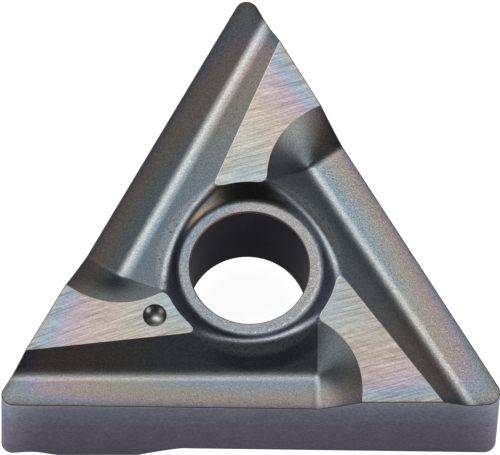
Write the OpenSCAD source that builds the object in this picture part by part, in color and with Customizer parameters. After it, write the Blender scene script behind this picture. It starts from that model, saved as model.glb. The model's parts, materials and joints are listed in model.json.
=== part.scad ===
// Indexable turning insert: a triangular, double-sided blank of sintered carbide with square
// flanks, a locking bore in a round recess, and three chip grooves on each face.
// Millimetres. The origin is on the bore axis at mid-thickness, +Z out of the upper ground face,
// and one corner of the triangle points along +Y.

/* [Blank] */
// Diameter of the circle that touches the three flanks
inscribed_d = 9.525; // [9:0.005:12.7]
// Distance between the two ground faces
thickness = 4.76; // [4.4:0.01:6.35]
// Radius of each cutting corner
nose_r = 0.4; // [0.2:0.1:0.8]

/* [Bore] */
// Diameter of the locking bore
bore_d = 3.81; // [3.4:0.01:4]
// Rounding of the bore's two rims
rim_r = 0.1; // [0.02:0.01:0.15]

/* [Hub recess] */
// Depth of the recess floor below the ground face
recess_depth = 0.37; // [0.25:0.01:0.5]
// Radius at which the recess wall reaches the ground face
recess_r = 2.825; // [2.7:0.005:3]
// Slope of the recess wall from the floor, in degrees
recess_wall_angle = 36; // [32:1:45]
// Fillet between the recess floor and its wall
recess_fillet_r = 0.3; // [0.1:0.05:0.35]

/* [Chip groove] */
// Depth of the groove root below the ground face, at the groove's closed end
groove_depth = 0.85; // [0.7:0.01:1]
// Distance from the flank to the root, at the closed end
groove_inset = 1.3; // [1.1:0.01:1.5]
// Distance along the flank from the closed end to the sharp corner ahead of it
groove_end_gap = 6.12; // [5.8:0.01:6.6]
// Angle by which the root falls towards the closed end, in degrees
groove_fall = 2.9; // [2:0.1:4]
// Angle by which the root turns in from the flank towards the closed end, in degrees
groove_skew = 1; // [0:0.1:2]
// Slope of the rake face, from the cutting edge down to the root, in degrees
rake_angle = 11; // [8:0.5:14]
// Slope of the back wall, from the root up to the ground face, in degrees
back_angle = 28.6; // [25:0.1:33]
// Slope of the closed end straight ahead of the root, in degrees
end_angle = 32.8; // [28:0.1:37]
// Radius of the rounded root
root_r = 0.75; // [0.1:0.05:0.9]

/* [Index dimple] */
// Diameter of the dimple at the ground face
dimple_d = 0.77; // [0.5:0.01:1]
// Depth of the dimple
dimple_depth = 0.18; // [0.1:0.01:0.25]
// Distance from the bore axis to the dimple, towards its corner
dimple_reach = 3.52; // [3.4:0.01:3.8]

/* [Hidden] */
$fn = 128;

corners = 3;
corner_turn = 360 / corners;
// Half the interior angle of a corner, and the side's half length between sharp corners
corner_half = 90 - corner_turn / 2;
inscribed_r = inscribed_d / 2;
half_side = inscribed_r / tan(corner_half);
half_flat = (inscribed_r - nose_r) / tan(corner_half);
nose_reach = (inscribed_r - nose_r) / sin(corner_half);
bore_r = bore_d / 2;
face_z = thickness / 2;
// How far each cutter runs past the blank
over = 1;
// How far the cutter of a groove's run reaches into that of its closed end
seam = 0.01;

// Recess: where its straight wall would meet the floor, and where the fillet touches both
recess_floor_z = face_z - recess_depth;
recess_foot_r = recess_r - recess_depth / tan(recess_wall_angle);
recess_touch = recess_fillet_r * tan(recess_wall_angle / 2);
floor_touch = [recess_foot_r - recess_touch, recess_floor_z];
wall_touch = [recess_foot_r + recess_touch * cos(recess_wall_angle),
              recess_floor_z + recess_touch * sin(recess_wall_angle)];

// Groove section: the root's arc joins the rake face and the back wall. It spans a little less
// than the length at which it would be tangent, so its ends are true corners of about 2 degrees.
root_span_share = 0.9;
section_half = (rake_angle + back_angle) / 2;
section_lean = (back_angle - rake_angle) / 2;
root_span = root_span_share * root_r * tan(section_half);
rake_touch = root_span * [-cos(rake_angle), sin(rake_angle)];
back_touch = root_span * [cos(back_angle), sin(back_angle)];
root_rise = root_span * sin(section_half)
    + sqrt(root_r * root_r - root_span * root_span * cos(section_half) * cos(section_half));
root_centre = root_rise * [-sin(section_lean), cos(section_lean)];
rake_run = groove_inset + over;
section_top = groove_depth + over;
groove_run = 2 * half_side - groove_end_gap + over;

// Closed end: a round cone, its tip at the root, that holds the rake line, the back wall line
// and the line straight ahead. end_axis is its axis, scaled so that each line's unit vector
// has a dot product of 1 with it.
end_axis_z = (cos(rake_angle) + cos(back_angle)) / sin(rake_angle + back_angle);
end_axis_y = (sin(rake_angle) * end_axis_z - 1) / cos(rake_angle);
end_axis_x = (1 - sin(end_angle + groove_fall) * end_axis_z) / cos(end_angle + groove_fall);
end_axis = [end_axis_x, end_axis_y, end_axis_z];
end_lean = acos(end_axis_z / norm(end_axis));
end_turn = atan2(end_axis_y, end_axis_x);
end_half_angle = acos(1 / norm(end_axis));
end_reach = 2 * (groove_depth + over);
end_block = 4 * end_reach;

dimple_r = (dimple_d * dimple_d / 4 + dimple_depth * dimple_depth) / (2 * dimple_depth);
// The dimple lies towards the corner after the one on +Y
dimple_corner = 90 + corner_turn;

// Plan outline of the blank: three flats joined by the corner radii
module blank_outline() {
    polygon([
        for (k = [0 : corners - 1], end = [-1, 1])
            let (turn = k * corner_turn - 90)
                inscribed_r * [cos(turn), sin(turn)] + end * half_flat * [-sin(turn), cos(turn)]
    ]);
    for (k = [0 : corners - 1])
        rotate(90 + k * corner_turn) translate([nose_reach, 0]) circle(r = nose_r);
}

// Sector of a circle between the two points p and q on it
module arc_sector(centre, r, p, q) {
    intersection() {
        translate(centre) circle(r = r);
        polygon([centre, 2 * p - centre, 2 * q - centre]);
    }
}

// Half section of the bore and of both recesses, the radius along X
module hub_section() {
    translate([0, -face_z]) square([bore_r, thickness]);
    for (flip = [0, 1])
        mirror([0, flip]) {
            polygon([
                [0, recess_floor_z],
                floor_touch,
                wall_touch,
                [recess_r + over / tan(recess_wall_angle), face_z + over],
                [0, face_z + over]
            ]);
            arc_sector(floor_touch + [0, recess_fillet_r], recess_fillet_r, floor_touch, wall_touch);
            difference() {
                translate([bore_r, recess_floor_z]) square(2 * rim_r, center = true);
                translate([bore_r + rim_r, recess_floor_z - rim_r]) circle(r = rim_r);
            }
        }
}

// Section of the groove across its root: rake face to the left, back wall to the right
module groove_section() {
    polygon([
        rake_touch,
        [-rake_run, rake_run * tan(rake_angle)],
        [-rake_run, section_top],
        [section_top / tan(back_angle), section_top],
        back_touch
    ]);
    arc_sector(root_centre, root_r, rake_touch, back_touch);
}

// Cutter for the groove's straight run: the root ends at the origin and runs off along -X
module run_cutter() {
    translate([-groove_run, 0, 0])
        rotate([90, 0, 90]) linear_extrude(height = groove_run + seam) groove_section();
}

// Cutter for the groove's closed end: the part of the leaning cone ahead of its tip
module end_cutter() {
    intersection() {
        rotate([0, end_lean, end_turn])
            cylinder(h = end_reach, r1 = 0, r2 = end_reach * tan(end_half_angle));
        translate([0, -end_block / 2, -over]) cube(end_block);
    }
}

// Puts a cutter at the closed end of each groove, three on each face
module at_each_groove() {
    for (turn_over = [0, 180], k = [0 : corners - 1])
        rotate([0, turn_over, k * corner_turn])
            translate([half_side - groove_end_gap, groove_inset - inscribed_r, face_z - groove_depth])
                rotate([0, groove_fall, groove_skew]) children();
}

// Spherical dimple that marks one corner of the upper face
module index_dimple() {
    rotate([0, 0, dimple_corner])
        translate([dimple_reach, 0, face_z - dimple_depth + dimple_r]) sphere(r = dimple_r);
}

module insert_body() {
    color("dimgray")
        difference() {
            linear_extrude(height = thickness, center = true) blank_outline();
            rotate_extrude() hub_section();
            at_each_groove() end_cutter();
            at_each_groove() run_cutter();
            index_dimple();
        }
}

insert_body();
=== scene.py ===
"""Looks of the indexable turning insert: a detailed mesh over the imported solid, finishes, light, camera."""

import json
import math
from functools import reduce

import bpy
import numpy as np
from mathutils import Matrix, Vector


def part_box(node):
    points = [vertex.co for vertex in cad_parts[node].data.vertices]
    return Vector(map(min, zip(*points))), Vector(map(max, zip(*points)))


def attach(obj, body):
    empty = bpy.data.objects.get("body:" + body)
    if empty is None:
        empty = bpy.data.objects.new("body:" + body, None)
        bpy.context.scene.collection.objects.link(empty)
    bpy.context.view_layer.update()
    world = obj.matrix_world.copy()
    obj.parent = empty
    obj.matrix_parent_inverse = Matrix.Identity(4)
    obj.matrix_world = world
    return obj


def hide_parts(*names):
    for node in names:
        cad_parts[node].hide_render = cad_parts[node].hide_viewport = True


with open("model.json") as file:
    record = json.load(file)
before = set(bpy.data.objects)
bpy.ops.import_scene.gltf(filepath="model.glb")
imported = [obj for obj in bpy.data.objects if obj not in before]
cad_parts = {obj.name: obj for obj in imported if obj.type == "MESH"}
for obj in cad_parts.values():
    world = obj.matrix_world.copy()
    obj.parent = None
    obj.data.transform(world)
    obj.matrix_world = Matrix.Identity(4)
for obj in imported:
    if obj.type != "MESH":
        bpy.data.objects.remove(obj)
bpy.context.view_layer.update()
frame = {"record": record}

# Sizes in millimetres. The blank and the bore come from the frame. The others, down to the dimple's
# reach, repeat the part's own values.
MM = 0.001
node_low, node_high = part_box("insert_body")
bore_mount = next(m for m in frame["record"]["mounts"] if m["kind"] == "bore")
FACE_Z = node_high[2] / MM
INSCRIBED_R = -node_low[1] / MM
BORE_R = bore_mount["dims"]["r_mm"]
CORNERS = 3
CORNER_TURN = math.tau / CORNERS
FIRST_CORNER = math.pi / 2
NOSE_R = 0.4
RECESS_DEPTH = 0.37
RECESS_R = 2.825
RECESS_WALL = math.radians(36)
RECESS_FILLET_R = 0.3
GROOVE_DEPTH = 0.85
GROOVE_INSET = 1.3
GROOVE_END_GAP = 6.12
GROOVE_FALL = math.radians(2.9)
GROOVE_SKEW = math.radians(1)
RAKE = math.radians(11)
BACK = math.radians(28.6)
END = math.radians(32.8)
ROOT_R = 0.75
DIMPLE_D = 0.77
DIMPLE_DEPTH = 0.18
DIMPLE_REACH = 3.52

# Finer forms that only the detailed mesh has: the rounded ridge between recess and groove, the
# edge preparation round the outline, the bore's rim at the radius of its thin highlight, the
# narrow break along the ground face's border, and the softened start of a groove's closed end,
# which is wide on the rake face and narrow on the back wall.
CREST_R = 0.29
HONE_R = 0.035
RIM_R = 0.05
BREAK_DROP = 0.01
RAKE_BLEND = 0.22
BACK_BLEND = 0.06

# Mesh density: cells along a side, the share of a cell over which a point may slide to a border,
# and the rows of faces in the hone, the rims and the walls
LATTICE_STEPS = 250
SNAP_SHARE = 0.22
HONE_ROWS = 4
RIM_ROWS = 3
WALL_ROWS = 6

# Steps over which slopes and the gradients of borders are measured, the level that counts as zero,
# the halvings that find where an edge crosses a border, and how close to the outline and to the
# ground face's border a point counts as on it
SLOPE_STEP = 0.012
PROBE_STEP = 1e-4
ZERO_LEVEL = 1e-7
HALVINGS = 40
ON_OUTLINE = 1e-6
ON_BORDER = 1e-5

# Finish of each face of the mesh, in the order of the material slots
LAND, GROOVE, BREAK, HONE, FLANK, RIM, BORE, DIMPLE = range(8)


def smooth_max(a, b, reach):
    """The larger of two heights, blended where they differ by less than reach."""
    share = np.clip(1 - np.abs(a - b) / reach, 0, None)
    return np.maximum(a, b) + share * share * reach / 4


def smooth_min(a, b, reach):
    """The smaller of two heights, blended in the same way."""
    return -smooth_max(-a, -b, reach)


def smooth_step(value):
    """0 below 0, 1 above 1, and a smooth curve between."""
    share = np.clip(value, 0, 1)
    return share * share * (3 - 2 * share)


def blend_reach(radius, slope_sum):
    """Height difference over which two slopes blend with the given radius."""
    return radius * slope_sum * slope_sum / 2


def groove_axes():
    """Unit vectors of a groove's own frame: along the root, across it and out of the face."""
    root = np.array([
        math.cos(GROOVE_FALL) * math.cos(GROOVE_SKEW),
        math.cos(GROOVE_FALL) * math.sin(GROOVE_SKEW),
        -math.sin(GROOVE_FALL),
    ])
    across = np.array([-math.sin(GROOVE_SKEW), math.cos(GROOVE_SKEW), 0.0])
    return root, across, np.cross(root, across)


def end_cone():
    """Axis and half angle of the closed end's cone, in the groove's own frame."""
    z = (math.cos(RAKE) + math.cos(BACK)) / math.sin(RAKE + BACK)
    y = (math.sin(RAKE) * z - 1) / math.cos(RAKE)
    ahead = END + GROOVE_FALL
    x = (1 - math.sin(ahead) * z) / math.cos(ahead)
    axis = np.array([x, y, z])
    length = np.linalg.norm(axis)
    return axis / length, 1 / length


SIDE_HALF = INSCRIBED_R / math.tan(math.pi / 2 - CORNER_TURN / 2)
ROOT_AXIS, ACROSS_AXIS, OUT_AXIS = groove_axes()
CONE_AXIS, CONE_COS = end_cone()
CONE_WORLD = CONE_AXIS[0] * ROOT_AXIS + CONE_AXIS[1] * ACROSS_AXIS + CONE_AXIS[2] * OUT_AXIS
GROOVE_TIP = np.array([SIDE_HALF - GROOVE_END_GAP, GROOVE_INSET - INSCRIBED_R, FACE_Z - GROOVE_DEPTH])
ROOT_REACH = blend_reach(ROOT_R, math.tan(RAKE) + math.tan(BACK))
FILLET_REACH = blend_reach(RECESS_FILLET_R, math.tan(RECESS_WALL))
CREST_REACH = blend_reach(CREST_R, math.tan(RECESS_WALL) + math.tan(BACK))


def turned(points, angle):
    """Flat points turned about the axis."""
    cos, sin = math.cos(angle), math.sin(angle)
    return points @ np.array([[cos, sin], [-sin, cos]])


def plane_drop(normal, flat):
    """Height over the groove's tip of the plane through it with this normal."""
    return -(normal[0] * flat[:, 0] + normal[1] * flat[:, 1]) / normal[2]


def groove_height(points):
    """Height of the groove on the -Y flank, taken past its borders, at each point."""
    flat = points - GROOVE_TIP[:2]
    rake = plane_drop(math.sin(RAKE) * ACROSS_AXIS + math.cos(RAKE) * OUT_AXIS, flat)
    back = plane_drop(-math.sin(BACK) * ACROSS_AXIS + math.cos(BACK) * OUT_AXIS, flat)
    sharp = np.maximum(rake, back)
    run = smooth_max(rake, back, ROOT_REACH)
    ahead = flat @ ROOT_AXIS[:2] + sharp * ROOT_AXIS[2]
    lean = flat @ CONE_WORLD[:2]
    a = CONE_WORLD[2] ** 2 - CONE_COS**2
    c = lean * lean - CONE_COS**2 * (flat * flat).sum(axis=1)
    b = lean * CONE_WORLD[2]
    tip_rise = a * ROOT_REACH / 4
    cone = (-b + np.sqrt(np.maximum(b * b - a * c, 0) + tip_rise**2)) / a
    on_rake = smooth_step((rake - back) / ROOT_REACH + 0.5)
    reach = BACK_BLEND + (RAKE_BLEND - BACK_BLEND) * on_rake
    share = smooth_step((ahead / reach + 1) / 2)
    return GROOVE_TIP[2] + run + (cone - run) * share


def hub_height(points):
    """Height of the recess, taken past its border."""
    radius = np.hypot(points[:, 0], points[:, 1])
    floor = np.full(len(points), FACE_Z - RECESS_DEPTH)
    wall = FACE_Z + (radius - RECESS_R) * math.tan(RECESS_WALL)
    return smooth_max(floor, wall, FILLET_REACH)


def recess_height(points):
    """Height of everything that lies below the ground face, taken past its border."""
    grooves = np.min([groove_height(turned(points, -k * CORNER_TURN)) for k in range(CORNERS)], axis=0)
    return smooth_min(grooves, hub_height(points), CREST_REACH)


def slope_normals(height, points):
    """Upward unit normals of a height function."""
    step = np.array([SLOPE_STEP, 0.0])
    dx = (height(points + step) - height(points - step)) / (2 * SLOPE_STEP)
    dy = (height(points + step[::-1]) - height(points - step[::-1])) / (2 * SLOPE_STEP)
    normals = np.stack([-dx, -dy, np.ones(len(points))], axis=1)
    return normals / np.linalg.norm(normals, axis=1)[:, None]


def nearest_in_core(points):
    """Nearest point of the triangle through the nose centres."""
    core_r = INSCRIBED_R - NOSE_R
    corners = [2 * core_r * np.array([math.cos(a), math.sin(a)])
               for a in (FIRST_CORNER + k * CORNER_TURN for k in range(CORNERS))]
    best = points.copy()
    gap = np.full(len(points), np.inf)
    inside = np.ones(len(points), bool)
    for k in range(CORNERS):
        start, end = corners[k], corners[(k + 1) % CORNERS]
        run = end - start
        outward = np.array([run[1], -run[0]]) / np.linalg.norm(run)
        inside &= (points - start) @ outward <= 0
        share = np.clip((points - start) @ run / (run @ run), 0, 1)
        foot = start + share[:, None] * run
        distance = np.linalg.norm(points - foot, axis=1)
        closer = distance < gap
        best[closer] = foot[closer]
        gap = np.minimum(gap, distance)
    best[inside] = points[inside]
    return best, np.where(inside, -gap, gap)


# The zero line of each level below is a border that the flat sheet is cut along


def outline_level(points):
    return nearest_in_core(points)[1] - (NOSE_R - HONE_R)


def bore_level(points):
    return BORE_R + RIM_R - np.hypot(points[:, 0], points[:, 1])


def border_level(points):
    return recess_height(points) - FACE_Z


def break_level(points):
    return recess_height(points) - FACE_Z + BREAK_DROP


DIMPLE_ANGLE = FIRST_CORNER + CORNER_TURN
DIMPLE_AT = DIMPLE_REACH * np.array([math.cos(DIMPLE_ANGLE), math.sin(DIMPLE_ANGLE)])
DIMPLE_R = (DIMPLE_D**2 / 4 + DIMPLE_DEPTH**2) / (2 * DIMPLE_DEPTH)


def dimple_level(points):
    return np.linalg.norm(points - DIMPLE_AT, axis=1) - DIMPLE_D / 2


def dimple_height(points):
    gap = np.linalg.norm(points - DIMPLE_AT, axis=1)
    return FACE_Z - DIMPLE_DEPTH + DIMPLE_R - np.sqrt(np.maximum(DIMPLE_R**2 - gap**2, 0))


def lattice():
    """Triangular lattice that fills the outline's sharp triangle, less the edge preparation."""
    reach = 2 * (INSCRIBED_R - HONE_R)
    corners = [reach * np.array([math.cos(a), math.sin(a)])
               for a in (FIRST_CORNER + k * CORNER_TURN for k in range(CORNERS))]
    index, points = {}, []
    for i in range(LATTICE_STEPS + 1):
        for j in range(LATTICE_STEPS + 1 - i):
            index[i, j] = len(points)
            k = LATTICE_STEPS - i - j
            points.append((i * corners[0] + j * corners[1] + k * corners[2]) / LATTICE_STEPS)
    faces = []
    for i in range(LATTICE_STEPS):
        for j in range(LATTICE_STEPS - i):
            faces.append((index[i, j], index[i + 1, j], index[i, j + 1]))
            if i + j < LATTICE_STEPS - 1:
                faces.append((index[i + 1, j], index[i + 1, j + 1], index[i, j + 1]))
    return np.array(points), np.array(faces)


CELL = 2 * (INSCRIBED_R - HONE_R) * math.sqrt(3) / LATTICE_STEPS


class Sheet:
    """A flat triangle mesh with a tag on each face and a mark on the points that may not slide."""

    def __init__(self, points, faces, tags=None, fixed=None):
        self.points = points
        self.faces = faces
        self.tags = np.zeros(len(faces), int) if tags is None else tags
        self.fixed = np.zeros(len(points), bool) if fixed is None else fixed

    def copy(self):
        return Sheet(self.points.copy(), self.faces.copy(), self.tags.copy(), self.fixed.copy())

    def keep(self, mask):
        """Drops the other faces and the points that no face uses any more."""
        self.faces, self.tags = self.faces[mask], self.tags[mask]
        used = np.unique(self.faces)
        place = np.full(len(self.points), -1)
        place[used] = np.arange(len(used))
        self.points, self.fixed = self.points[used], self.fixed[used]
        self.faces = place[self.faces]

    def slide(self, level):
        """Moves free points that are close to the level's zero line onto it. Returns all levels."""
        values = level(self.points)
        step = np.array([PROBE_STEP, 0.0])
        rise = [level(self.points + s) - level(self.points - s) for s in (step, step[::-1])]
        gradient = np.stack(rise, axis=1) / (2 * PROBE_STEP)
        size = np.maximum((gradient**2).sum(axis=1), 1e-9)
        shift = -(values / size)[:, None] * gradient
        near = (np.linalg.norm(shift, axis=1) < SNAP_SHARE * CELL) & ~self.fixed
        self.points[near] += shift[near]
        again = level(self.points[near])
        self.points[near] -= (again / size[near])[:, None] * gradient[near]
        values[near] = 0
        values[np.abs(values) < ZERO_LEVEL] = 0
        return values

    def cut(self, level, only=None):
        """Splits faces along the level's zero line. Returns which faces lie on its positive side."""
        values = self.slide(level)
        corner = values[self.faces]
        crossed = (corner.min(axis=1) < 0) & (corner.max(axis=1) > 0)
        if only is not None:
            crossed &= self.tags == only
        edges = {}
        for face in self.faces[crossed]:
            for a, b in ((0, 1), (1, 2), (2, 0)):
                p, q = sorted((int(face[a]), int(face[b])))
                if values[p] * values[q] < 0:
                    edges.setdefault((p, q), len(self.points) + len(edges))
        pairs = np.array(list(edges))
        start, end = self.points[pairs[:, 0]], self.points[pairs[:, 1]]
        rising = (values[pairs[:, 0]] < 0)[:, None]
        low, high = np.where(rising, start, end), np.where(rising, end, start)
        for _ in range(HALVINGS):
            middle = (low + high) / 2
            below = (level(middle) < 0)[:, None]
            low, high = np.where(below, middle, low), np.where(below, high, middle)
        self.points = np.vstack([self.points, (low + high) / 2])
        self.fixed = np.concatenate([self.fixed | (values == 0), np.ones(len(pairs), bool)])
        values = np.concatenate([values, np.zeros(len(pairs))])
        new_faces, new_tags = [], []
        for face, tag in zip(self.faces[crossed], self.tags[crossed]):
            for piece in split_face([int(p) for p in face], values, edges):
                new_faces.append(piece)
                new_tags.append(tag)
        self.faces = np.vstack([self.faces[~crossed], np.array(new_faces)])
        self.tags = np.concatenate([self.tags[~crossed], np.array(new_tags)])
        return values[self.faces].sum(axis=1) > 0


def split_face(face, values, edges):
    """The triangles that one crossed face becomes."""
    ring = []
    for a, b in zip(face, face[1:] + face[:1]):
        ring.append(a)
        if values[a] * values[b] < 0:
            ring.append(edges[min(a, b), max(a, b)])
    start = next(i for i, p in enumerate(ring) if values[p] == 0)
    ring = ring[start:] + ring[:start]
    other = next(i for i, p in enumerate(ring) if i > 1 and values[p] == 0)
    parts = [ring[: other + 1], [ring[other]] + ring[other + 1:] + [ring[0]]]
    pieces = []
    for part in parts:
        pieces += [(part[0], part[i], part[i + 1]) for i in range(1, len(part) - 1)]
    return pieces


def loops_of(faces):
    """The border loops of a mesh, each as a list of points in the faces' own direction."""
    edges = np.vstack([faces[:, [0, 1]], faces[:, [1, 2]], faces[:, [2, 0]]])
    known = {(int(a), int(b)) for a, b in edges}
    follow = {a: b for a, b in known if (b, a) not in known}
    loops = []
    while follow:
        start, following = follow.popitem()
        loop = [start]
        while following != start:
            loop.append(following)
            following = follow.pop(following)
        loops.append(loop)
    return sorted(loops, key=len)


class Body:
    """Collects points, faces with their finish, and a normal for each corner of each face."""

    def __init__(self):
        self.points, self.faces, self.finish, self.normals = [], [], [], []

    def add_points(self, points):
        start = len(self.points)
        self.points += [tuple(p) for p in points]
        return list(range(start, len(self.points)))

    def add_face(self, corners, finish, normals):
        self.faces.append(tuple(corners))
        self.finish.append(finish)
        self.normals += [tuple(n) for n in normals]


def face_sheet():
    """The flat mesh of one ground face: outline, bore, ground face's border and its narrow break."""
    sheet = Sheet(*lattice())
    sheet.fixed = np.abs(outline_level(sheet.points)) < ON_OUTLINE
    sheet.keep(~sheet.cut(outline_level))
    sheet.keep(~sheet.cut(bore_level))
    above = sheet.cut(border_level)
    sheet.tags = np.where(above, LAND, GROOVE)
    above = sheet.cut(break_level, only=GROOVE)
    sheet.tags = np.where((sheet.tags == GROOVE) & above, BREAK, sheet.tags)
    return sheet


def add_face_side(body, sheet, dimpled, flip):
    """Adds one side of the insert and returns its outer and inner loop, as points with a flat place."""
    if dimpled:
        inside = ~sheet.cut(dimple_level)
    else:
        inside = np.zeros(len(sheet.faces), bool)
    flat = sheet.points
    height = np.minimum(recess_height(flat), FACE_Z)
    in_dimple = np.zeros(len(flat), bool)
    in_dimple[sheet.faces[inside]] = True
    if dimpled:
        height[in_dimple] = dimple_height(flat[in_dimple])
    places = np.column_stack([flat, height])
    slopes = slope_normals(recess_height, flat)
    bowl = slope_normals(dimple_height, flat)
    up = np.array([0.0, 0.0, 1.0])
    on_border = np.abs(border_level(flat)) < ON_BORDER
    turn = np.array([-1.0, 1.0, -1.0]) if flip else np.ones(3)
    ids = body.add_points(places * turn)
    for face, tag, bowled in zip(sheet.faces, sheet.tags, inside):
        if bowled:
            normals = [bowl[p] for p in face]
        elif tag == LAND:
            normals = [up] * 3
        elif tag == BREAK:
            normals = [up if on_border[p] else slopes[p] for p in face]
        else:
            normals = [slopes[p] for p in face]
        finish = DIMPLE if bowled else int(tag)
        body.add_face([ids[p] for p in face], finish, [n * turn for n in normals])
    inner, outer = loops_of(sheet.faces)[-2:]
    return [(ids[p], flat[p], height[p]) for p in outer], [(ids[p], flat[p], height[p]) for p in inner]


def add_strip(body, upper, lower, upper_normals, lower_normals, finish, flip):
    """Joins two closed rows that have the same number of points."""
    count = len(upper)
    for i in range(count):
        j = (i + 1) % count
        corners = [upper[i], upper[j], lower[j], lower[i]]
        normals = [upper_normals[i], upper_normals[j], lower_normals[j], lower_normals[i]]
        if flip:
            corners.reverse()
            normals.reverse()
        body.add_face(corners, finish, normals)


def rounded_rows(body, loop, outward, radius, rows, finish, turn):
    """Rolls a loop over a quarter round: from the face's own direction to the outward one."""
    ids = [item[0] for item in loop]
    flat = np.array([item[1] for item in loop])
    height = np.array([item[2] for item in loop])
    previous = np.column_stack([np.zeros((len(ids), 2)), np.ones(len(ids))]) * turn
    for row in range(1, rows + 1):
        angle = math.pi / 2 * row / rows
        places = np.column_stack([
            flat + outward * radius * math.sin(angle),
            height - radius * (1 - math.cos(angle)),
        ])
        rise = np.full(len(ids), math.cos(angle))
        normals = np.column_stack([outward * math.sin(angle), rise]) * turn
        lower = body.add_points(places * turn)
        add_strip(body, ids, lower, previous, normals, finish, flip=True)
        ids, previous = lower, normals
    return ids, previous


def add_wall(body, top_ids, top_normals, bottom_ids, bottom_normals, finish):
    """Joins the top row to the bottom row with upright rows, ordered by their angle round the axis."""
    def ordered(ids, normals):
        places = np.array([body.points[i] for i in ids])
        angles = np.arctan2(places[:, 1], places[:, 0])
        order = np.argsort(angles)
        return [ids[i] for i in order], places[order], angles[order], np.array(normals)[order]

    top_ids, top, top_angles, top_normals = ordered(top_ids, top_normals)
    low_ids, low, low_angles, low_normals = ordered(bottom_ids, bottom_normals)
    around = np.concatenate([low_angles - math.tau, low_angles, low_angles + math.tau])
    low_z = np.interp(top_angles, around, np.tile(low[:, 2], 3))
    outside = finish == FLANK
    ids = top_ids
    for row in range(1, WALL_ROWS):
        share = row / WALL_ROWS
        places = top.copy()
        places[:, 2] = top[:, 2] * (1 - share) + low_z * share
        lower = body.add_points(places)
        add_strip(body, ids, lower, top_normals, top_normals, finish, flip=outside)
        ids = lower
    i = j = 0
    upper_count, lower_count = len(ids), len(low_ids)
    while i < upper_count or j < lower_count:
        next_upper = top_angles[(i + 1) % upper_count] + (math.tau if i + 1 >= upper_count else 0)
        next_lower = low_angles[(j + 1) % lower_count] + (math.tau if j + 1 >= lower_count else 0)
        a, b = i % upper_count, j % lower_count
        if j >= lower_count or (i < upper_count and next_upper <= next_lower):
            c = (i + 1) % upper_count
            corners = [ids[a], ids[c], low_ids[b]]
            normals = [top_normals[a], top_normals[c], low_normals[b]]
            i += 1
        else:
            c = (j + 1) % lower_count
            corners = [ids[a], low_ids[c], low_ids[b]]
            normals = [top_normals[a], low_normals[c], low_normals[b]]
            j += 1
        if outside:
            corners.reverse()
            normals.reverse()
        body.add_face(corners, finish, normals)


def insert_mesh():
    """The whole surface: both faces, the hones, rims, flanks and bore."""
    body = Body()
    sheet = face_sheet()
    ends = []
    for flip in (False, True):
        turn = np.array([-1.0, 1.0, -1.0]) if flip else np.ones(3)
        outer, inner = add_face_side(body, sheet.copy(), dimpled=not flip, flip=flip)
        flat = np.array([item[1] for item in outer])
        outward = flat - nearest_in_core(flat)[0]
        outward /= np.linalg.norm(outward, axis=1)[:, None]
        rim = rounded_rows(body, outer, outward, HONE_R, HONE_ROWS, HONE, turn)
        flat = np.array([item[1] for item in inner])
        inward = -flat / np.linalg.norm(flat, axis=1)[:, None]
        hole = rounded_rows(body, inner, inward, RIM_R, RIM_ROWS, RIM, turn)
        ends.append((rim, hole))
    (top_rim, top_hole), (low_rim, low_hole) = ends
    add_wall(body, *top_rim, *low_rim, FLANK)
    add_wall(body, *top_hole, *low_hole, BORE)
    mesh = bpy.data.meshes.new("insert_surface")
    mesh.from_pydata([tuple(np.array(p) * MM) for p in body.points], [], body.faces)
    mesh.polygons.foreach_set("material_index", body.finish)
    mesh.polygons.foreach_set("use_smooth", [True] * len(body.faces))
    mesh.normals_split_custom_set(body.normals)
    mesh.validate(clean_customdata=False)
    return mesh


# Thin-film tint of the coating against film depth in millimetres, from the corner inwards. The
# ramp ends at a depth of FILM_SPAN, and its white stands for a tint of TINT_FULL.
FILM_TINTS = (
    (0.3, (1.05, 1.02, 1.04)),
    (0.65, (0.99, 1.055, 1.06)),
    (0.9, (0.875, 1.05, 1.13)),
    (1.12, (0.845, 1.03, 1.2)),
    (1.4, (1.0, 0.975, 1.18)),
    (1.7, (1.11, 0.96, 1.05)),
    (2.05, (1.15, 0.96, 0.97)),
    (2.6, (1.14, 0.97, 0.88)),
    (3.4, (1.08, 0.99, 0.87)),
    (3.9, (1.0, 1.01, 0.93)),
    (4.4, (0.91, 1.02, 1.04)),
    (4.8, (0.86, 1.03, 1.13)),
    (5.4, (0.82, 1.03, 1.17)),
    (6.3, (0.79, 1.04, 1.2)),
)
FILM_SPAN = 7.0
TINT_FULL = 1.3

# Tone of the metal on the lands and in the grooves
LAND_TONE = 0.365
GROOVE_TONE = 0.36

# Tints of the recess, as multiples of the groove's tone: its ring-shaped floor, which is cooler on
# the left, and its darker wall, with painted shade that makes it darkest below the land at the top and a warm
# painted reflection beside that
RING_TINT = (0.96, 0.94, 0.94)
RING_COOL_TINT = (0.65, 0.79, 0.92)
WALL_TINT = (0.47, 0.53, 0.68)
WALL_TOP_SHADE_TINT = (0.31, 0.31, 0.31)
WALL_WARM_REFLECTION_TINT = (1.27, 0.99, 0.75)

# Direction of the first land from the axis, in degrees from +X
LAND_TURN = 94

# Lighter collar round the recess: its outer radius, and its tone against the rest of the groove
COLLAR_R = 3.0
COLLAR_SHARE = 1.3

# Painted highlight: a bright line along each groove's root: its tint, half width and shift towards the flank
ROOT_HIGHLIGHT_TINT = (1.29, 1.33, 1.29)
ROOT_HALF = 0.17
ROOT_SHIFT = 0.07

# Painted shade: a darker spot just past the tip of each groove, where its walls face each other: its place
# from the tip, its reach and its depth
TIP_SHADE_AT = (0.5, 0.05)
TIP_SHADE_R = 0.75
TIP_SHADE_SHARE = 0.3

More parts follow.
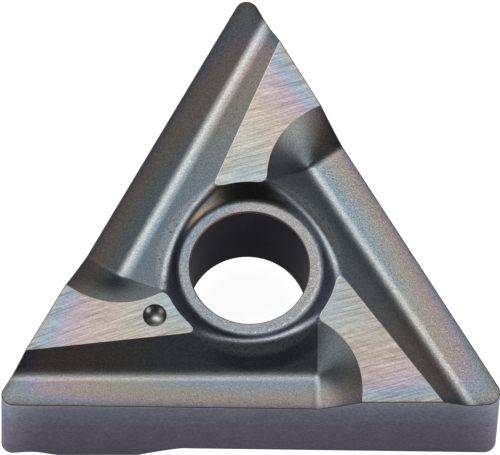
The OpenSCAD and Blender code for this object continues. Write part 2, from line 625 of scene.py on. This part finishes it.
# Tones of the flank and of the bore, from the lower ground face at 0 to the upper one at 1, with painted
# shade that makes both darker towards the lower face
FLANK_TONES_AND_SHADE = (
    (0.0, (0.054, 0.048, 0.062)),
    (0.55, (0.08, 0.073, 0.097)),
    (0.88, (0.114, 0.12, 0.15)),
    (1.0, (0.17, 0.175, 0.195)),
)
BORE_TONES_AND_SHADE = (
    (0.1, (0.012, 0.0115, 0.0155)),
    (0.6, (0.082, 0.076, 0.103)),
)

# Tones of the smaller faces
RIM_TONE = (0.38, 0.34, 0.33)
RIM_HIGHLIGHT_TONE = (0.68, 0.43, 0.27)
BREAK_TONE = (0.5, 0.49, 0.47)
HONE_TONE = (0.22, 0.17, 0.145)
DIMPLE_TONE = (0.38, 0.385, 0.38)

# Grinding marks are arcs of a wide wheel, whose centre lies far in front of the insert
WHEEL_AT = (35.0, -119.0, 0.0)
SECOND_WHEEL_AT = (-52.0, -105.0, 0.0)


class Finish:
    """Node tree of one finish, with short helpers for arithmetic on sockets and plain numbers."""

    def __init__(self, name, roughness, metallic=1.0):
        self.material = bpy.data.materials.new(name)
        self.material.use_nodes = True
        self.tree = self.material.node_tree
        self.shader = self.tree.nodes["Principled BSDF"]
        self.shader.inputs["Roughness"].default_value = roughness
        self.shader.inputs["Metallic"].default_value = metallic
        place = self.tree.nodes.new("ShaderNodeTexCoord").outputs["Object"]
        self.place = self.vector("SCALE", place, scale=1 / MM)
        self.flat = self.vector("MULTIPLY", self.place, (1, 1, 0))

    def link(self, value, socket):
        if isinstance(value, bpy.types.NodeSocket):
            self.tree.links.new(value, socket)
        else:
            socket.default_value = value

    def math(self, operation, *values, clamp=False):
        node = self.tree.nodes.new("ShaderNodeMath")
        node.operation = operation
        node.use_clamp = clamp
        for value, socket in zip(values, node.inputs):
            self.link(value, socket)
        return node.outputs[0]

    def vector(self, operation, a, b=None, scale=None):
        node = self.tree.nodes.new("ShaderNodeVectorMath")
        node.operation = operation
        self.link(a, node.inputs[0])
        if b is not None:
            self.link(b, node.inputs[1])
        if scale is not None:
            self.link(scale, node.inputs["Scale"])
        return node.outputs["Value" if operation in ("DOT_PRODUCT", "LENGTH", "DISTANCE") else "Vector"]

    def split(self, vector):
        node = self.tree.nodes.new("ShaderNodeSeparateXYZ")
        self.link(vector, node.inputs[0])
        return node.outputs

    def joined(self, x, y):
        node = self.tree.nodes.new("ShaderNodeCombineXYZ")
        self.link(x, node.inputs["X"])
        self.link(y, node.inputs["Y"])
        return node.outputs[0]

    def noise(self, place, scale, detail=2.0, roughness=0.5):
        """Noise from 0 to 1, with so many blotches per unit of the place."""
        node = self.tree.nodes.new("ShaderNodeTexNoise")
        self.link(place, node.inputs["Vector"])
        node.inputs["Scale"].default_value = scale
        node.inputs["Detail"].default_value = detail
        node.inputs["Roughness"].default_value = roughness
        return node.outputs["Fac"]

    def ramp(self, value, stops):
        node = self.tree.nodes.new("ShaderNodeValToRGB")
        elements = node.color_ramp.elements
        while len(elements) < len(stops):
            elements.new(0.5)
        for element, (place, color) in zip(elements, stops):
            element.position = place
            element.color = (*color, 1)
        self.link(value, node.inputs["Fac"])
        return node.outputs["Color"]

    def mix(self, first, second, share):
        """Blends two colours, each a socket or three numbers."""
        change = self.vector("SUBTRACT", second, first)
        return self.vector("ADD", first, self.vector("SCALE", change, scale=share))

    def times(self, *factors):
        return reduce(lambda a, b: self.math("MULTIPLY", a, b), factors)

    def least(self, *values):
        return reduce(lambda a, b: self.math("MINIMUM", a, b), values)

    def most(self, *values):
        return reduce(lambda a, b: self.math("MAXIMUM", a, b), values)

    def around(self, value, middle, swing):
        """Turns noise from 0 to 1 into a factor about the middle."""
        return self.math("MULTIPLY_ADD", value, 2 * swing, middle - swing)

    def changed(self, value, change):
        """A factor: 1 where the value is 0, and larger by the change where it is 1."""
        return self.math("MULTIPLY_ADD", value, change, 1.0)

    def between(self, value, low, high):
        """0 at low, 1 at high, held outside. High may be the smaller one."""
        return self.math("DIVIDE", self.math("SUBTRACT", value, low), high - low, clamp=True)

    def toward(self, azimuth, low, high):
        """0 to 1 as the place round the axis turns towards this azimuth, in degrees from +X.

        Low and high are cosines of the angle between the two.
        """
        angle = math.radians(azimuth)
        aim = (math.cos(angle), math.sin(angle), 0)
        along = self.vector("DOT_PRODUCT", self.vector("NORMALIZE", self.flat), aim)
        return self.between(along, low, high)

    def level(self):
        """0 at the lower ground face, 1 at the upper one."""
        return self.math("DIVIDE", self.math("ADD", self.split(self.place)["Z"], FACE_Z), 2 * FACE_Z)

    def edge_distance(self):
        """Distance in from the nearest flank."""
        sides = []
        for k in range(CORNERS):
            angle = FIRST_CORNER + math.pi + k * CORNER_TURN
            sides.append(self.vector("DOT_PRODUCT", self.flat, (math.cos(angle), math.sin(angle), 0)))
        return self.most(self.math("SUBTRACT", INSCRIBED_R, self.most(*sides)), 0.0)

    def corner_distance(self):
        """Distance from the nearest sharp corner."""
        gaps = []
        for k in range(CORNERS):
            angle = FIRST_CORNER + k * CORNER_TURN
            corner = (2 * INSCRIBED_R * math.cos(angle), 2 * INSCRIBED_R * math.sin(angle), 0)
            gaps.append(self.vector("DISTANCE", self.flat, corner))
        return self.least(*gaps)

    def edge_fade(self, edge, rate, share):
        """1, less a share at the flank that fades inwards at this rate per millimetre."""
        return self.changed(self.math("EXPONENT", self.math("MULTIPLY", edge, -rate)), -share)

    def film_tint(self, depth):
        """Tint of the coating at a film depth."""
        stops = [(at / FILM_SPAN, [c / TINT_FULL for c in color]) for at, color in FILM_TINTS]
        tint = self.ramp(self.math("DIVIDE", depth, FILM_SPAN), stops)
        return self.vector("SCALE", tint, scale=TINT_FULL)

    def shade(self, color, *factors):
        """Multiplies a colour by numbers and sets it as the base colour."""
        total = self.times(*factors)
        self.link(self.vector("SCALE", color, scale=total), self.shader.inputs["Base Color"])

    def bump(self, height, depth):
        """Bump whose whole range is this many millimetres deep."""
        node = self.tree.nodes.new("ShaderNodeBump")
        node.inputs["Strength"].default_value = 1.0
        node.inputs["Distance"].default_value = depth * MM
        self.link(height, node.inputs["Height"])
        self.link(node.outputs["Normal"], self.shader.inputs["Normal"])


def strokes(finish, wheel, pitch, length):
    """Noise from 0 to 1, drawn out along a wheel's arcs.

    Pitch and length are strokes per millimetre, across the arcs and along them.
    """
    offset = finish.vector("SUBTRACT", finish.flat, wheel)
    parts = finish.split(offset)
    angle = finish.math("ARCTAN2", parts["X"], parts["Y"])
    across = finish.math("MULTIPLY", finish.vector("LENGTH", offset), pitch)
    along = finish.math("MULTIPLY", angle, math.hypot(wheel[0], wheel[1]) * length)
    return finish.noise(finish.joined(across, along), 1.0, detail=3.0, roughness=0.65)


def land_finish():
    """Ground face: arc-shaped grinding marks under the film's colours."""
    finish = Finish("ground_land", roughness=0.3)
    edge, corner = finish.edge_distance(), finish.corner_distance()
    wander = finish.around(finish.noise(finish.flat, 1.6), 0.0, 0.25)
    depth = finish.math("ADD", finish.math("SQRT", finish.times(edge, corner)), wander)
    fine = strokes(finish, WHEEL_AT, pitch=20.0, length=0.8)
    broad = strokes(finish, WHEEL_AT, pitch=7.0, length=0.4)
    deep = finish.between(strokes(finish, WHEEL_AT, pitch=12.0, length=0.45), 0.56, 0.63)
    cross = strokes(finish, SECOND_WHEEL_AT, pitch=15.0, length=0.8)
    grain = finish.noise(finish.flat, 14.0, detail=3, roughness=0.7)
    finish.shade(
        finish.film_tint(depth),
        LAND_TONE,
        finish.around(broad, 1.0, 0.3),
        finish.around(fine, 1.04, 0.75),
        finish.changed(deep, -0.28),
        finish.around(cross, 1.0, 0.25),
        finish.around(grain, 1.0, 0.45),
        finish.edge_fade(edge, rate=1.4, share=0.2),
    )
    finish.bump(fine, 0.003)
    return finish.material


def turned_over(finish):
    """Flat place on the upper face, and on the lower one as it lies when the insert is turned over."""
    parts = finish.split(finish.place)
    side = finish.math("SIGN", parts["Z"])
    return finish.joined(finish.math("MULTIPLY", parts["X"], side), parts["Y"])


def groove_film(finish, edge, corner):
    """Tint of the coating in a groove, in bands that follow the cutting edge and the nose."""
    wander = finish.around(finish.noise(finish.flat, 1.3), 0.0, 0.3)
    across = finish.math("MULTIPLY_ADD", finish.math("SQRT", finish.times(edge, corner)), 2.0, -0.12)
    nose = finish.math("SUBTRACT", corner, 0.12)
    along = finish.math("MULTIPLY_ADD", corner, 0.62, 0.95)
    return finish.film_tint(finish.math("ADD", finish.least(across, nose, along), wander))


def root_highlight_share(finish):
    """1 on the line of each groove's root, up to its tip, where the root's highlight is painted."""
    shares = []
    for k in range(CORNERS):
        tip = turned(GROOVE_TIP[:2], k * CORNER_TURN)
        along = turned(ROOT_AXIS[:2], k * CORNER_TURN)
        across = turned(ACROSS_AXIS[:2], k * CORNER_TURN)
        side = finish.vector("DOT_PRODUCT", finish.flat, (*across, 0))
        gap = finish.math("ABSOLUTE", finish.math("SUBTRACT", side, tip @ across - ROOT_SHIFT))
        reach = finish.vector("DOT_PRODUCT", finish.flat, (*along, 0))
        ahead = finish.math("SUBTRACT", reach, tip @ along)
        shares.append(finish.times(finish.between(gap, ROOT_HALF, 0.0), finish.between(ahead, 0.1, -0.05)))
    return finish.most(*shares)


def hub_tint(finish, radius):
    """Tint of the recess: its ring-shaped floor and its darker wall, with painted shade at the top and a warm
    painted reflection beside it.
    """
    mild = finish.math("MULTIPLY", finish.toward(240, -0.2, 0.6), 0.55)
    cool = finish.most(finish.toward(145, 0.6, 0.95), mild)
    ring = finish.mix(RING_TINT, RING_COOL_TINT, cool)
    # Painted shade on the wall at the top, then a warm painted reflection towards 128 degrees
    wall = finish.mix(WALL_TINT, WALL_TOP_SHADE_TINT, finish.toward(88, 0.75, 0.9))
    wall = finish.mix(wall, WALL_WARM_REFLECTION_TINT, finish.toward(128, 0.93, 0.99))
    return finish.mix(wall, ring, finish.between(radius, 2.38, 2.24))


def hub_share(finish, radius):
    """1 where the recess has its own tint: its floor, and its whole wall below each land."""
    turns = [LAND_TURN + math.degrees(k * CORNER_TURN) for k in range(CORNERS)]
    below = finish.most(*[finish.toward(turn, 0.88, 0.96) for turn in turns])
    outer = finish.times(below, finish.between(radius, 2.95, 2.87))
    return finish.most(outer, finish.between(radius, 2.56, 2.44))


def speck_shade(finish, radius):
    """Fine specks, which are stronger towards the hub."""
    specks = finish.noise(finish.place, 26.0, roughness=0.8)
    strength = finish.math("MULTIPLY_ADD", finish.between(radius, 3.1, 2.3), 0.6, 1.15)
    return finish.math("ADD", finish.times(finish.math("SUBTRACT", specks, 0.5), strength), 1.0)


def front_painted_shade(finish, radius):
    """Painted shade: a darker band outside the collar, on the front groove's back wall."""
    gap = finish.math("ABSOLUTE", finish.math("SUBTRACT", radius, COLLAR_R + 0.2))
    band = finish.times(finish.between(gap, 0.3, 0.14), finish.toward(-80, 0.8, 0.95))
    return finish.changed(band, -0.42)


def tip_painted_shade(finish):
    """Painted shade: a darker spot just past each groove's tip."""
    gaps = []
    for k in range(CORNERS):
        x, y = turned(GROOVE_TIP[:2] + TIP_SHADE_AT, k * CORNER_TURN)
        gaps.append(finish.vector("DISTANCE", finish.flat, (x, y, 0)))
    near = finish.between(finish.least(*gaps), TIP_SHADE_R, 0.0)
    spot = finish.times(near, near, finish.math("MULTIPLY_ADD", near, -2.0, 3.0))
    return finish.changed(spot, -TIP_SHADE_SHARE)


def hub_marks(finish, radius, collar):
    """The lighter collar with its dark pits, and painted glints, bright specks of highlight, on the ring
    inside it.
    """
    raised = finish.times(collar, finish.between(radius, 2.62, 2.75))
    pits = finish.between(finish.noise(finish.place, 11.0, detail=1), 0.62, 0.7)
    # Painted glints: bright specks of highlight on the ring
    painted_glints = finish.between(finish.noise(finish.place, 15.0, detail=1), 0.6, 0.7)
    return finish.times(
        finish.changed(raised, COLLAR_SHARE - 1),
        finish.changed(finish.times(pits, raised), -0.6),
        finish.changed(finish.times(painted_glints, finish.between(radius, 2.5, 2.3)), 0.55),
    )


def groove_finish():
    """Coated grooves and recess: bands of film colour on a grainy, pitted surface."""
    finish = Finish("coated_groove", roughness=0.32)
    finish.flat = turned_over(finish)
    edge, corner = finish.edge_distance(), finish.corner_distance()
    radius = finish.vector("LENGTH", finish.flat)
    collar = finish.between(radius, COLLAR_R + 0.04, COLLAR_R - 0.04)
    paler = finish.math("MULTIPLY_ADD", collar, 0.4, 0.12)
    film = finish.mix(groove_film(finish, edge, corner), (1.0, 1.0, 1.0), paler)
    # Painted highlight along each groove's root
    film = finish.mix(film, ROOT_HIGHLIGHT_TINT, root_highlight_share(finish))
    grain = finish.noise(finish.place, 20.0, detail=3, roughness=0.7)
    finish.shade(
        finish.mix(film, hub_tint(finish, radius), hub_share(finish, radius)),
        GROOVE_TONE,
        finish.around(grain, 1.0, 0.8),
        speck_shade(finish, radius),
        # Painted shade on the front groove's back wall
        front_painted_shade(finish, radius),
        # Painted shade past each groove's tip
        tip_painted_shade(finish),
        hub_marks(finish, radius, collar),
        finish.edge_fade(edge, rate=5.0, share=0.6),
    )
    finish.bump(grain, 0.007)
    return finish.material


def plain_finish(name, color, roughness, swing=0.15):
    """One tone with fine grain, for the narrow faces and the dimple."""
    finish = Finish(name, roughness)
    grain = finish.noise(finish.place, 14.0, detail=3, roughness=0.6)
    finish.shade(color, finish.around(grain, 1.0, swing))
    finish.bump(grain, 0.003)
    return finish.material


def flank_finish():
    """Mottled flank, with painted shade that darkens it towards the lower face and a painted sheen round the
    noses.
    """
    finish = Finish("ground_flank", roughness=0.38)
    grain = finish.noise(finish.place, 9.0, detail=3, roughness=0.7)
    mottle = finish.noise(finish.place, 2.2)
    nose = finish.between(finish.corner_distance(), 1.9, 0.5)
    finish.shade(
        # Painted shade: darker towards the lower face
        finish.ramp(finish.level(), FLANK_TONES_AND_SHADE),
        finish.around(grain, 1.0, 1.0),
        finish.around(mottle, 1.0, 0.2),
        # Painted sheen: lighter round the noses
        finish.changed(finish.times(nose, nose), 0.9),
    )
    finish.shader.inputs["Specular Tint"].default_value = (0.6, 0.6, 0.64, 1)
    finish.bump(grain, 0.003)
    return finish.material


def bore_finish():
    """Dark, nearly matt wall, with painted shade that makes it darker towards the lower face."""
    finish = Finish("bore_wall", roughness=0.6, metallic=0)
    grain = finish.noise(finish.place, 10.0, detail=3, roughness=0.6)
    # Painted shade: darker towards the lower face
    finish.shade(finish.ramp(finish.level(), BORE_TONES_AND_SHADE), finish.around(grain, 1.0, 0.4))
    finish.shader.inputs["Specular IOR Level"].default_value = 0.025
    finish.bump(grain, 0.003)
    return finish.material


def rim_finish():
    """Rim of the bore: grey, with a warm orange highlight painted on one side."""
    finish = Finish("bore_rim", roughness=0.45)
    grain = finish.noise(finish.place, 14.0, detail=3, roughness=0.65)
    # Painted highlight: orange on the side towards azimuth 125 degrees
    tone = finish.mix(RIM_TONE, RIM_HIGHLIGHT_TONE, finish.toward(125, 0.7, 0.95))
    finish.shade(tone, finish.around(grain, 1.0, 0.4))
    finish.bump(grain, 0.003)
    return finish.material


mesh = insert_mesh()
insert = bpy.data.objects.new("insert_detail", mesh)
bpy.context.scene.collection.objects.link(insert)
mesh.materials.append(land_finish())
mesh.materials.append(groove_finish())
mesh.materials.append(plain_finish("border_break", BREAK_TONE, 0.3))
mesh.materials.append(plain_finish("honed_edge", HONE_TONE, 0.45, swing=0.5))
mesh.materials.append(flank_finish())
mesh.materials.append(rim_finish())
mesh.materials.append(bore_finish())
mesh.materials.append(plain_finish("index_dimple", DIMPLE_TONE, 0.3))
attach(insert, "root")
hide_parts("insert_body")

# Camera fitted to the photograph: where it stands as seen from the insert and how it is rolled, in
# degrees, its place to the right, up and back from the middle of the lower ground face, in
# millimetres, and its lens
CAMERA_AZIMUTH = -2.927
CAMERA_ELEVATION = 68.705
CAMERA_ROLL = 2.564
CAMERA_PLACE = (0.087, 2.881, 452.048)
CAMERA_LENS = 1008


def photo_camera():
    """Camera at the photograph's angle, looking down on the front flank."""
    azimuth, elevation, roll = (math.radians(a) for a in (CAMERA_AZIMUTH, CAMERA_ELEVATION, CAMERA_ROLL))
    back = Vector((
        math.sin(azimuth) * math.cos(elevation),
        -math.cos(azimuth) * math.cos(elevation),
        math.sin(elevation),
    ))
    level_right = Vector((math.cos(azimuth), math.sin(azimuth), 0))
    level_up = back.cross(level_right)
    right = level_right * math.cos(roll) + level_up * math.sin(roll)
    up = level_up * math.cos(roll) - level_right * math.sin(roll)
    place = (CAMERA_PLACE[0] * right + CAMERA_PLACE[1] * up + CAMERA_PLACE[2] * back) * MM
    place.z -= FACE_Z * MM
    data = bpy.data.cameras.new("camera")
    data.sensor_fit = "HORIZONTAL"
    data.sensor_width = 36
    data.lens = CAMERA_LENS
    camera = bpy.data.objects.new("camera", data)
    turn = Matrix((right, up, back)).transposed().to_4x4()
    camera.matrix_world = Matrix.Translation(place) @ turn
    bpy.context.scene.collection.objects.link(camera)
    bpy.context.scene.camera = camera


# Distance of the lamps, in metres
LAMP_REACH = 0.6


def softbox(name, azimuth, elevation, half_angle, radiance, height_share=1.0):
    """Elliptical lamp that faces the insert. Azimuth 0 is behind it, positive to the right."""
    width = 2 * LAMP_REACH * math.tan(math.radians(half_angle))
    height = width * height_share
    area = math.pi * width * height / 4
    data = bpy.data.lights.new(name, "AREA")
    data.shape = "ELLIPSE"
    data.size = width
    data.size_y = height
    data.energy = radiance * math.pi * area
    light = bpy.data.objects.new(name, data)
    a, e = math.radians(azimuth), math.radians(elevation)
    place = Vector((math.sin(a) * math.cos(e), math.cos(a) * math.cos(e), math.sin(e))) * LAMP_REACH
    light.location = place
    light.rotation_euler = place.to_track_quat("Z", "Y").to_euler()
    light.visible_camera = False
    bpy.context.scene.collection.objects.link(light)


photo_camera()
softbox("key", azimuth=-11, elevation=61, half_angle=18, radiance=2.35, height_share=0.5)
softbox("key_shoulder", azimuth=-29, elevation=50, half_angle=11, radiance=0.65)
softbox("key_side", azimuth=-38, elevation=62, half_angle=9.5, radiance=0.32)
softbox("halo", azimuth=-25, elevation=54, half_angle=36, radiance=0.33, height_share=1.1)
softbox("low", azimuth=-34, elevation=37, half_angle=13, radiance=1.05)
softbox("back", azimuth=38, elevation=22, half_angle=14, radiance=0.12)
softbox("right", azimuth=119, elevation=33, half_angle=14, radiance=1.7)
softbox("left", azimuth=-111, elevation=37, half_angle=18, radiance=0.72, height_share=0.8)

# Surroundings: white up to the horizon and a dim grey above it. A height of 0.5 is the horizon.
WHITE_UP_TO = 0.51
GREY_FROM = 0.525
SKY_GREY = (0.035, 0.035, 0.037, 1)


def surroundings():
    world = bpy.data.worlds.new("world")
    bpy.context.scene.world = world
    world.use_nodes = True
    nodes, links = world.node_tree.nodes, world.node_tree.links
    direction = nodes.new("ShaderNodeTexCoord")
    split = nodes.new("ShaderNodeSeparateXYZ")
    links.new(direction.outputs["Generated"], split.inputs[0])
    height = nodes.new("ShaderNodeMath")
    height.operation = "MULTIPLY_ADD"
    height.inputs[1].default_value = 0.5
    height.inputs[2].default_value = 0.5
    links.new(split.outputs["Z"], height.inputs[0])
    sky = nodes.new("ShaderNodeValToRGB")
    white, grey = sky.color_ramp.elements
    white.position = WHITE_UP_TO
    white.color = (1, 1, 1, 1)
    grey.position = GREY_FROM
    grey.color = SKY_GREY
    links.new(height.outputs[0], sky.inputs["Fac"])
    links.new(sky.outputs["Color"], nodes["Background"].inputs["Color"])


surroundings()

# Floor: half its side in metres, its gap below the lower ground face in millimetres, so that the
# two never coincide, its own tone, and the level at which the camera and gloss see it
FLOOR_HALF = 2.0
FLOOR_GAP = 0.02
FLOOR_TONE = 0.8
FLOOR_GLOW = 0.92


def floor_finish():
    """Pale floor that keeps the insert's shadow, and that is white to the camera, gloss and glass."""
    material = bpy.data.materials.new("floor")
    material.use_nodes = True
    nodes, links = material.node_tree.nodes, material.node_tree.links
    path = nodes.new("ShaderNodeLightPath")
    seen = path.outputs["Is Camera Ray"]
    for ray in ("Is Glossy Ray", "Is Transmission Ray"):
        total = nodes.new("ShaderNodeMath")
        total.operation = "ADD"
        links.new(seen, total.inputs[0])
        links.new(path.outputs[ray], total.inputs[1])
        seen = total.outputs[0]
    level = nodes.new("ShaderNodeMath")
    level.operation = "MULTIPLY"
    level.inputs[1].default_value = FLOOR_GLOW
    links.new(seen, level.inputs[0])
    glow = nodes.new("ShaderNodeEmission")
    links.new(level.outputs[0], glow.inputs["Strength"])
    shadowed = nodes.new("ShaderNodeBsdfDiffuse")
    shadowed.inputs["Color"].default_value = (FLOOR_TONE, FLOOR_TONE, FLOOR_TONE, 1)
    both = nodes.new("ShaderNodeAddShader")
    links.new(shadowed.outputs[0], both.inputs[0])
    links.new(glow.outputs[0], both.inputs[1])
    links.new(both.outputs[0], nodes["Material Output"].inputs["Surface"])
    return material


def studio_floor():
    mesh = bpy.data.meshes.new("floor")
    z = (-FACE_Z - FLOOR_GAP) * MM
    places = [(x * FLOOR_HALF, y * FLOOR_HALF, z) for x, y in ((-1, -1), (1, -1), (1, 1), (-1, 1))]
    mesh.from_pydata(places, [], [(0, 1, 2, 3)])
    mesh.materials.append(floor_finish())
    floor = bpy.data.objects.new("floor", mesh)
    bpy.context.scene.collection.objects.link(floor)


studio_floor()

bpy.context.scene.view_settings.view_transform = "Standard"
